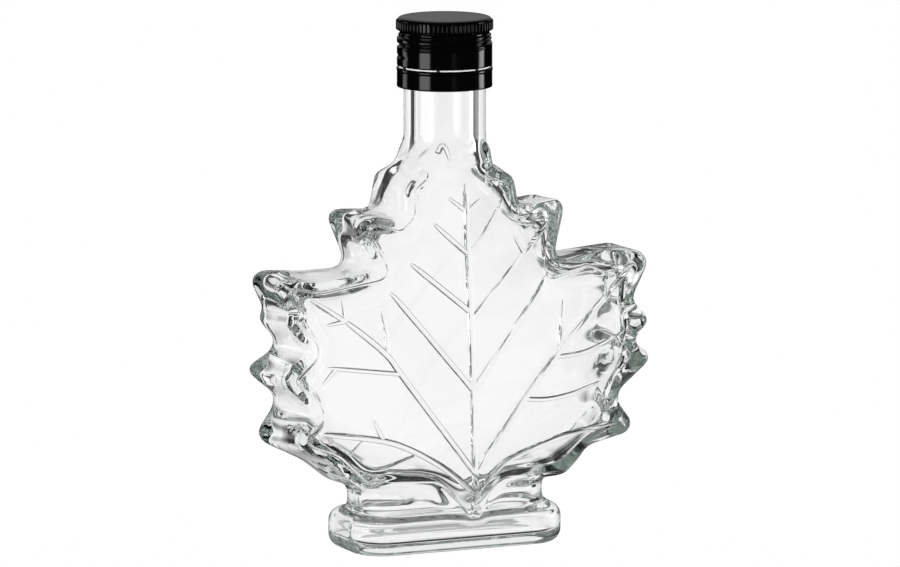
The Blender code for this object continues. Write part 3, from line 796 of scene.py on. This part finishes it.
class StageSettings(bpy.types.PropertyGroup):
    floor_radius: FloatProperty(
        name="Floor radius", description="Radius of the floor", default=0.55, unit="LENGTH")


CLASSES = [GlassSettings, CapSettings, StageSettings]


def operator_class(cls):
    CLASSES.append(cls)
    return cls


def mesh_object(name, points, faces):
    mesh = mesh_from(name, points, faces=faces)
    mesh.update()
    return linked(name, mesh)


def surface_group():
    """A node group that varies a surface: its roughness between two values, and its height."""
    tree = bpy.data.node_groups.get("surface_variation")
    if tree:
        return tree
    tree = bpy.data.node_groups.new("surface_variation", "ShaderNodeTree")
    for name, value in (("Wave Scale", 60.0), ("Grain Scale", 900.0), ("Grain Share", 0.1),
                        ("Low Roughness", 0.0), ("High Roughness", 0.1)):
        socket = tree.interface.new_socket(name, in_out="INPUT", socket_type="NodeSocketFloat")
        socket.default_value = value
    for name in ("Roughness", "Height"):
        tree.interface.new_socket(name, in_out="OUTPUT", socket_type="NodeSocketFloat")
    given = tree.nodes.new("NodeGroupInput").outputs
    place = tree.nodes.new("ShaderNodeTexCoord").outputs["Object"]
    wave, grain = [
        output_of(tree, "ShaderNodeTexNoise",
                  {"Vector": place, "Scale": given[scale], "Detail": detail})
        for scale, detail in (("Wave Scale", 1.0), ("Grain Scale", 3.0))]
    share = math_node(tree, "MULTIPLY", grain, given["Grain Share"])
    spread = output_of(tree, "ShaderNodeMapRange", {
        "Value": grain, "From Min": 0.35, "From Max": 0.65,
        "To Min": given["Low Roughness"], "To Max": given["High Roughness"]})
    add_node(tree, "NodeGroupOutput", {
        "Height": math_node(tree, "ADD", wave, share), "Roughness": spread})
    return tree


def vary_surface(tree, shader, depth, **values):
    """Places the group in a material; depth is the height of its bumps in metres."""
    values = {name.replace("_", " ").title(): value for name, value in values.items()}
    group = add_node(tree, "ShaderNodeGroup", values, node_tree=surface_group())
    bump = output_of(tree, "ShaderNodeBump", {"Distance": depth, "Height": group.outputs["Height"]})
    tree.links.new(bump, shader.inputs["Normal"])
    tree.links.new(group.outputs["Roughness"], shader.inputs["Roughness"])


def glass_material(settings):
    material, shader = shaded_material("clear_glass", {
        "Base Color": (1, 1, 1, 1), "IOR": 1.5, "Transmission Weight": 1.0})
    tree = material.node_tree
    vary_surface(tree, shader, 0.00002, wave_scale=60.0, grain_scale=300.0, grain_share=0.0,
                 low_roughness=0.0, high_roughness=0.003)
    volume = output_of(tree, "ShaderNodeVolumeAbsorption", {
        "Color": (*settings.tint, 1), "Density": settings.density})
    tree.links.new(volume, tree.nodes["Material Output"].inputs["Volume"])
    return material


@operator_class
class OBJECT_OT_leaf_glass(bpy.types.Operator):
    """Make the glass of the leaf bottle, hollow and with its veins"""
    bl_idname = "maple_bottle.glass"
    bl_label = "Glass"

    def execute(self, context):
        settings = context.scene.maple_glass
        glass = Glass(settings)
        step = settings.cell
        axes = [np.arange(low, high, step) for low, high in zip(GRID_LOW, GRID_HIGH)]
        points, quads = surface_net(glass.on_grid(*axes), GRID_LOW, step)
        points = relaxed(glass.settle(points, 3), quads, glass, 3)
        points, triangles = refined(points, quads, glass)
        materials = [glass_material(settings), bpy.data.materials.new("vein_marker")]
        item = mesh_object("bottle_glass", points, triangles)
        for material in materials:
            item.data.materials.append(material)
        united(item, vein_network(glass, settings, materials))
        smooth_shading(item.data, glass)
        item.data.materials.pop()
        bpy.data.materials.remove(materials[-1])
        item.data.transform(Matrix.Scale(MM, 4))
        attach(item, "root")
        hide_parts("bottle")
        return {"FINISHED"}


# ---------------------------------------------------------------- cap, in millimetres

CAP_RADIUS = 15.9
CAP_INNER_RADIUS = 15.3
SLEEVE_INNER_RADIUS = 14.95
CAP_TURNS = 200
ROW_STEP = 0.16
THREAD_TOP_Z = 173.0
THREAD_FADE = 22.0
# Half sizes of a grip rib and of a bridge over the tear slit.
RIB = (0.55, 0.46, 1.66)
RIB_RADIUS = 15.72
RIB_Z = 175.55
BRIDGE = (0.36, 0.55, 0.55)
BRIDGE_RADIUS = 15.58
BRIDGE_Z = 161.6
BRIDGE_START = -122.5
# Outer side of the cap above its tear slit, as (radius, height) from the middle of the top down.
CROWN_PROFILE = [
    (0, 178), (6, 178), (12, 178), (13.6, 178.02), (14.3, 178.1), (14.8, 178.06),
    (15.25, 177.9), (15.55, 177.6), (15.7, 177.2), (15.72, 176.6), (15.72, 175.4), (15.72, 174.4),
    (15.65, 174.05), (15.4, 173.7), (15.1, 173.35), (14.98, 173), (15.1, 172.65), (15.5, 172.3),
    (15.8, 172.05), (15.9, 171.8),
]
# The tear ring below it.
RING_PROFILE = [
    (15.35, 161.5), (15.7, 161.48), (15.88, 161.36), (16.06, 160.9), (16.06, 160.45),
    (15.92, 160.15), (15.86, 159.9), (15.9, 159.5), (15.9, 158), (15.9, 156.2), (15.96, 155.6),
    (15.96, 155.2), (15.85, 154.9), (15.6, 154.8), (15.4, 155), (15.3, 156.5), (15.3, 161.2),
]
# The bare metal that shows through the tear slit.
SLEEVE_PROFILE = [(15.26, 162.9), (15.26, 160), (14.96, 160), (14.96, 162.9)]
SLIT_TOP_Z = 161.95
# Rolled grooves: (depth, half width, run of (angle round from the front, height)).
THREAD_RUNS = [
    (1, 0.95, [(130, 170.8), (90, 170.3), (49, 169.9), (0, 169.7), (-24, 169.65), (-90, 168.9),
                 (-140, 168.4), (-200, 167.8)]),
    (0.85, 0.85, [(120, 171.6), (49, 171.5), (-24, 171.7), (-90, 171.9), (-150, 172.1)]),
    (0.3, 0.6, [(70, 168.5), (-24, 168.15), (-70, 167.6)]),
    (0.5, 0.9, [(-50, 165), (-90, 165.3), (-170, 165.8)]),
]


def thread_groove(angle, height):
    """How deep the rolled grooves cut in at an angle from the front and a height."""
    deepest = 0.0
    for depth, width, run in THREAD_RUNS:
        ends = sorted(run)
        for turn in (-360, 0, 360):
            place = angle + turn
            low, high = ends[0][0], ends[-1][0]
            if low <= place <= high:
                middle = np.interp(place, [e[0] for e in ends], [e[1] for e in ends])
                fade = min(1.0, (place - low) / THREAD_FADE, (high - place) / THREAD_FADE)
                across = min(abs(height - middle) / width, 1.0)
                deepest = max(deepest, depth * fade * (1 - across) ** 1.7)
    return deepest


def turned_shell(name, profile, grooved=False):
    """A closed shell from a ring of (radius, height) points turned about the axis."""
    front = math.degrees(CAMERA_AZIMUTH) - 90
    points, rows = [], []
    for radius, height in profile:
        turns = CAP_TURNS if radius else 1
        rows.append([len(points) + step % turns for step in range(CAP_TURNS)])
        for step in range(turns):
            angle = 360 * step / CAP_TURNS
            reach = radius
            if grooved and radius > CAP_INNER_RADIUS + 0.3 and height < THREAD_TOP_Z:
                reach -= thread_groove((angle - front + 180) % 360 - 180, height)
            turn = math.radians(angle)
            points.append((
                reach * math.cos(turn) * MM, reach * math.sin(turn) * MM, height * MM))
    pairs = list(zip(rows, rows[1:]))
    if profile[0][0] != 0:
        pairs.append((rows[-1], rows[0]))
    faces = []
    for upper, lower in pairs:
        for step in range(CAP_TURNS):
            after = (step + 1) % CAP_TURNS
            faces.append(dict.fromkeys([upper[step], lower[step], lower[after], upper[after]]))
    item = mesh_object(name, points, faces)
    reworked(item.data)
    item.data.shade_smooth()
    return item


def crown_profile():
    """The whole run of the upper shell, down its outer side and back up its inner side."""
    outer = list(CROWN_PROFILE)
    height = outer[-1][1] - ROW_STEP
    while height > SLIT_TOP_Z + 0.5:
        outer.append((CAP_RADIUS, height))
        height -= ROW_STEP
    outer += [(CAP_RADIUS, SLIT_TOP_Z + 0.25), (CAP_RADIUS - 0.12, SLIT_TOP_Z + 0.05),
              (CAP_RADIUS - 0.3, SLIT_TOP_Z)]
    inner = [(CAP_INNER_RADIUS, SLIT_TOP_Z), (CAP_INNER_RADIUS - 0.02, 163.5),
             (SLEEVE_INNER_RADIUS + 0.03, 164.0), (14.8, 166.0),
             (14.65, 172.0), (14.65, 176.6), (14.2, 177.25), (0.0, 177.25)]
    return outer + inner


def bead_mesh(name, half, powers, rows=6, columns=10):
    """A small closed pillow, squarer as its powers rise."""
    def eased(value, power):
        return math.copysign(abs(value) ** (2 / power), value)
    points = [(0, 0, -half[2])]
    for row in range(1, rows):
        up = -math.pi / 2 + math.pi * row / rows
        for column in range(columns):
            turn = 2 * math.pi * column / columns
            ring = eased(math.cos(up), powers[1])
            points.append((half[0] * ring * eased(math.cos(turn), powers[0]),
                           half[1] * ring * eased(math.sin(turn), powers[0]),
                           half[2] * eased(math.sin(up), powers[1])))
    points.append((0, 0, half[2]))
    faces = []
    last = len(points) - 1
    for column in range(columns):
        after = (column + 1) % columns
        faces.append((0, 1 + after, 1 + column))
        faces.append((last, last - columns + column, last - columns + after))
        for row in range(rows - 2):
            a = 1 + row * columns
            faces.append((a + column, a + after, a + columns + after, a + columns + column))
    item = mesh_object(name, np.array(points) * MM, faces)
    item.data.shade_smooth()
    return item


def ring_of_pieces(tree, given, prefix):
    """Nodes that set a small piece at equal steps round the axis."""
    piece, count, start, radius, height = [given[f"{prefix} {name}"] for name, _ in RING_INPUTS]
    index = tree.nodes.new("GeometryNodeInputIndex").outputs[0]
    turn = math_node(tree, "DIVIDE", 2 * math.pi, count)
    angle = math_node(tree, "MULTIPLY_ADD", index, turn, start)
    x, y = [math_node(tree, "MULTIPLY", math_node(tree, wave, angle), radius)
            for wave in ("COSINE", "SINE")]
    place = output_of(tree, "ShaderNodeCombineXYZ", {"X": x, "Y": y, "Z": height})
    turned = output_of(tree, "ShaderNodeCombineXYZ", {"Z": angle})
    points = output_of(tree, "GeometryNodePoints", {"Count": count, "Position": place})
    source = add_node(tree, "GeometryNodeObjectInfo", {"Object": piece})
    return output_of(tree, "GeometryNodeInstanceOnPoints", {
        "Points": points, "Instance": source.outputs["Geometry"], "Rotation": turned})


RINGS = ("Rib", "Bridge")
RING_INPUTS = (("Piece", "Object"), ("Count", "Int"), ("Start", "Float"), ("Radius", "Float"),
               ("Height", "Float"))


def ring_tree():
    """Geometry Nodes that add rings of ribs and bridges to a shell."""
    tree, names, given = modifier_tree("cap_rings", [
        (f"{prefix} {name}", kind) for prefix in RINGS for name, kind in RING_INPUTS])
    join = tree.nodes.new("GeometryNodeJoinGeometry")
    for shape in [ring_of_pieces(tree, given, prefix) for prefix in RINGS] + [given["Geometry"]]:
        tree.links.new(shape, join.inputs[0])
    give_out(tree, join.outputs[0], given)
    return tree, names


def settled_mesh(item, name):
    """The evaluated mesh of an object, as a new plain object in its place."""
    plain = linked(name, applied(item))
    bpy.data.objects.remove(item, do_unlink=True)
    return plain


def lacquer_material(settings):
    material, shader = shaded_material("black_lacquer", {
        "Base Color": (*settings.lacquer, 1), "IOR": 1.5})
    vary_surface(material.node_tree, shader, 0.00001, wave_scale=350.0, grain_scale=1500.0,
                 grain_share=0.15, low_roughness=0.07, high_roughness=0.11)
    return material


def bare_metal_material():
    material, shader = shaded_material("bare_aluminium", {"Base Color": (0.93, 0.93, 0.93, 1)})
    vary_surface(material.node_tree, shader, 0.00002, wave_scale=500.0, grain_scale=2500.0,
                 grain_share=0.5, low_roughness=0.5, high_roughness=0.7)
    return material


def joined_objects(items, name):
    """Several mesh objects made one."""
    shape = bmesh.new()
    for item in items:
        shape.from_mesh(item.data)
        bpy.data.objects.remove(item, do_unlink=True)
    mesh = bpy.data.meshes.new(name)
    shape.to_mesh(mesh)
    shape.free()
    mesh.shade_smooth()
    return linked(name, mesh)


@operator_class
class OBJECT_OT_leaf_cap(bpy.types.Operator):
    """Make the screw cap with its grip ribs, rolled thread, tear slit and tear ring"""
    bl_idname = "maple_bottle.cap"
    bl_label = "Cap"

    def execute(self, context):
        settings = context.scene.maple_cap
        crown = turned_shell("crown", crown_profile(), grooved=True)
        ring = turned_shell("ring", RING_PROFILE)
        body = joined_objects([crown, ring], "cap_body")
        rib = bead_mesh("rib", RIB, (2.0, 5.0))
        bridge = bead_mesh("bridge", BRIDGE, (6.0, 6.0), rows=5, columns=8)
        values = {
            "Rib Piece": rib, "Rib Count": settings.ribs, "Rib Start": 0.0,
            "Rib Radius": RIB_RADIUS * MM, "Rib Height": RIB_Z * MM,
            "Bridge Piece": bridge, "Bridge Count": settings.bridges,
            "Bridge Start": math.radians(BRIDGE_START), "Bridge Radius": BRIDGE_RADIUS * MM,
            "Bridge Height": BRIDGE_Z * MM, "Material": lacquer_material(settings),
        }
        cap = run_tree(body, *ring_tree(), values, "cap_shell")
        for helper in (rib, bridge):
            bpy.data.objects.remove(helper, do_unlink=True)
        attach(cap, "root")
        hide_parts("cap")
        sleeve = turned_shell("cap_slit_liner", SLEEVE_PROFILE)
        sleeve.data.materials.append(bare_metal_material())
        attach(sleeve, "root")
        return {"FINISHED"}


# ---------------------------------------------------------------- stage

CAMERA_AZIMUTH = math.radians(-24.604)
CAMERA_ELEVATION = math.radians(9.001)
CAMERA_DISTANCE = 3.0
PIXELS_PER_MM = 2.9921
TARGET = Vector((0.0, 0.0, 0.090))
TARGET_PIXEL = (444.59, 278.04)
IMAGE_SIZE = (900, 567)
SENSOR_WIDTH = 36.0
FLOOR_TURNS = 96
FLOOR_Z = -0.0002
BOUNCES = 48
GLOSSY_BOUNCES = 24


def add_camera():
    a, e = CAMERA_AZIMUTH, CAMERA_ELEVATION
    back = Vector((math.sin(a) * math.cos(e), -math.cos(a) * math.cos(e), math.sin(e)))
    right = Vector((math.cos(a), math.sin(a), 0))
    up = back.cross(right)
    data = bpy.data.cameras.new("camera")
    data.sensor_width = SENSOR_WIDTH
    data.lens = PIXELS_PER_MM * CAMERA_DISTANCE * 1000 * SENSOR_WIDTH / IMAGE_SIZE[0]
    data.clip_end = 50
    item = linked("camera", data)
    aside = (IMAGE_SIZE[0] / 2 - TARGET_PIXEL[0]) / PIXELS_PER_MM * MM
    above = (TARGET_PIXEL[1] - IMAGE_SIZE[1] / 2) / PIXELS_PER_MM * MM
    place = TARGET + back * CAMERA_DISTANCE + right * aside + up * above
    turn = Matrix((right, up, back)).transposed().to_4x4()
    item.matrix_world = Matrix.Translation(place) @ turn
    bpy.context.scene.camera = item


# Studio: (from, to, brightness) in degrees round from the camera's own side, left negative.
STUDIO = [
    (-180, -143, 1.0), (143, 180, 1.0),
    (93, 110, 4.5), (-120, -104, 1.3),
    (-62, -36, 2.8), (18, 28, 0.12),
]
STUDIO_DARK = 0.002
STUDIO_LIFT = 0.05
STRIP_EDGE = 2.0
SIDE_LIFT = 0.65
SIDE_LEAST = 0.02
SIDE_END = (100.0, 122.0)
WAVE_HEIGHT = 26
WAVE_ROUND = 90
BACKDROP_EDGE = 130.0
BACKDROP_REST = 0.25
SOFT_LIGHT = 2.2
# Heights over the level, in degrees, between which each light comes in or goes out.
FRONT_LOW = (-32.0, -24.0)
FRONT_HIGH = (4.0, 12.0)
THROUGH_HIGH = (25.0, 40.0)
MIRRORED_LOW = (0.0, 7.0)


def eased_ramp(tree, value, between, start, end):
    """Eases from one number to another as a value goes from one bound to the next."""
    return output_of(tree, "ShaderNodeMapRange", {
        "Value": value, "From Min": between[0], "From Max": between[1], "To Min": start,
        "To Max": end}, interpolation_type="SMOOTHSTEP")


def studio_strips(tree, share):
    """The strips of light round the object, as a ramp over a turn's share."""
    ramp = add_node(tree, "ShaderNodeValToRGB", {0: share})
    stops = []
    for low, high, value in STUDIO:
        for end, inward in ((low, STRIP_EDGE), (high, -STRIP_EDGE)):
            if abs(end) < 180:
                stops += [(end - inward, STUDIO_DARK), (end + inward, value)]
            else:
                stops.append((end, value))
    stops.sort()
    elements = ramp.color_ramp.elements
    while len(elements) > 1:
        elements.remove(elements[-1])
    for number, (place, value) in enumerate(stops):
        element = elements[0] if number == 0 else elements.new((place + 180) / 360)
        element.position = (place + 180) / 360
        element.color = (value, value, value, 1)
    return ramp.outputs[0]


def studio_world():
    """Strips of light round the object, on a background that the camera sees as white."""
    world = bpy.data.worlds.new("studio")
    world.use_nodes = True
    tree = world.node_tree
    calc = partial(math_node, tree)
    ease = partial(eased_ramp, tree)

    def product(a, b):
        return calc("MULTIPLY", a, b)
    place = tree.nodes.new("ShaderNodeTexCoord").outputs["Generated"]
    x, y, z = add_node(tree, "ShaderNodeSeparateXYZ", {0: place}).outputs
    a = CAMERA_AZIMUTH
    ahead = calc("ADD", product(x, math.sin(a)), product(y, -math.cos(a)))
    aside = calc("ADD", product(x, math.cos(a)), product(y, math.sin(a)))
    angle = product(calc("ARCTAN2", aside, ahead), 180 / math.pi)
    from_front = calc("ABSOLUTE", angle)
    height = product(calc("ARCSINE", z), 180 / math.pi)
    strips = studio_strips(tree, calc("MULTIPLY_ADD", angle, 1 / 360.0, 0.5))

    path = tree.nodes.new("ShaderNodeLightPath").outputs
    bounced = path["Is Reflection Ray"]
    behind = calc("GREATER_THAN", from_front, BACKDROP_EDGE)
    front = product(product(ease(height, FRONT_LOW, 0.0, 1.0), ease(height, FRONT_HIGH, 1.0, 0.0)),
                    calc("SUBTRACT", 1.0, behind))
    through = product(ease(height, THROUGH_HIGH, 1.0, BACKDROP_REST), behind)
    mirrored = product(ease(height, MIRRORED_LOW, 0.0, BACKDROP_REST), behind)
    shade = calc("ADD", front, calc("ADD", product(mirrored, bounced), product(
        through, calc("SUBTRACT", 1.0, bounced))))

    turn = calc("ADD", product(height, 2 * math.pi / WAVE_HEIGHT),
                product(angle, 2 * math.pi / WAVE_ROUND))
    wave = calc("POWER", calc("MULTIPLY_ADD", calc("SINE", turn), 0.5, 0.5), 2.0)
    side = product(ease(from_front, SIDE_END, 1.0, 0.0),
                   calc("MULTIPLY_ADD", wave, SIDE_LIFT, SIDE_LEAST))
    aslant = calc("ABSOLUTE", calc("ADD", height, 9.0))
    lift = calc("MAXIMUM", ease(aslant, (10.0, 22.0), 0.003, STUDIO_LIFT), side)
    lift = product(lift, path["Is Transmission Ray"])

    plain = calc("MAXIMUM", path["Is Camera Ray"], product(path["Is Diffuse Ray"], SOFT_LIGHT))
    strength = calc("MAXIMUM", product(strips, shade), lift)
    studio = product(strength, calc("LESS_THAN", plain, 0.5))
    background = tree.nodes["Background"]
    tree.links.new(calc("ADD", studio, plain), background.inputs["Strength"])
    background.inputs["Color"].default_value = (1, 1, 1, 1)
    world.cycles.sampling_method = "NONE"
    bpy.context.scene.world = world


def floor_material():
    """White to the camera, dark to reflections, and to other rays light only at a slant."""
    material, shader = shaded_material("pale_floor", {
        "Base Color": (0.0, 0.0, 0.0, 1), "Roughness": 1.0, "Specular IOR Level": 0.0,
        "Emission Strength": 1.0})
    tree = material.node_tree
    path = tree.nodes.new("ShaderNodeLightPath").outputs
    facing = add_node(tree, "ShaderNodeLayerWeight", {"Blend": 0.5}).outputs["Facing"]
    grazing = add_node(tree, "ShaderNodeValToRGB", {0: facing})
    low, high = grazing.color_ramp.elements
    low.position, high.position = 0.3, 0.6
    low.color = (0.02, 0.02, 0.02, 1)

    def pick(kind, otherwise, chosen):
        mix = add_node(tree, "ShaderNodeMix", {0: path[kind], 6: otherwise, 7: chosen},
                       data_type="RGBA")
        return mix.outputs[2]
    below = pick("Is Reflection Ray", grazing.outputs[0], (0.002, 0.002, 0.002, 1))
    tree.links.new(pick("Is Camera Ray", below, (1, 1, 1, 1)), shader.inputs["Emission Color"])
    return material


@operator_class
class OBJECT_OT_leaf_stage(bpy.types.Operator):
    """Set up the floor, the studio and the camera"""
    bl_idname = "maple_bottle.stage"
    bl_label = "Stage"

    def execute(self, context):
        radius = context.scene.maple_stage.floor_radius
        turns = [2 * math.pi * k / FLOOR_TURNS for k in range(FLOOR_TURNS)]
        ring = [(radius * math.cos(a), radius * math.sin(a), FLOOR_Z) for a in turns]
        floor = mesh_object("floor", ring, [range(FLOOR_TURNS)])
        floor.data.materials.append(floor_material())
        studio_world()
        add_camera()
        scene = context.scene
        scene.view_settings.view_transform = "Standard"
        scene.cycles.denoising_input_passes = "RGB"
        scene.cycles.max_bounces = BOUNCES
        scene.cycles.transmission_bounces = BOUNCES
        scene.cycles.glossy_bounces = GLOSSY_BOUNCES
        return {"FINISHED"}


@operator_class
class VIEW3D_PT_leaf_bottle(bpy.types.Panel):
    bl_label = "Maple Bottle"
    bl_space_type = "VIEW_3D"
    bl_region_type = "UI"
    bl_category = "Maple Bottle"

    def draw(self, context):
        for name in ("glass", "cap", "stage"):
            self.layout.operator(f"maple_bottle.{name}")


def register():
    for cls in CLASSES:
        bpy.utils.register_class(cls)
    bpy.types.Scene.maple_glass = PointerProperty(type=GlassSettings)
    bpy.types.Scene.maple_cap = PointerProperty(type=CapSettings)
    bpy.types.Scene.maple_stage = PointerProperty(type=StageSettings)


def unregister():
    del bpy.types.Scene.maple_stage
    del bpy.types.Scene.maple_cap
    del bpy.types.Scene.maple_glass
    for cls in reversed(CLASSES):
        bpy.utils.unregister_class(cls)


def main():
    register()
    bpy.ops.maple_bottle.glass()
    bpy.ops.maple_bottle.cap()
    bpy.ops.maple_bottle.stage()


if __name__ == "__main__":
    main()
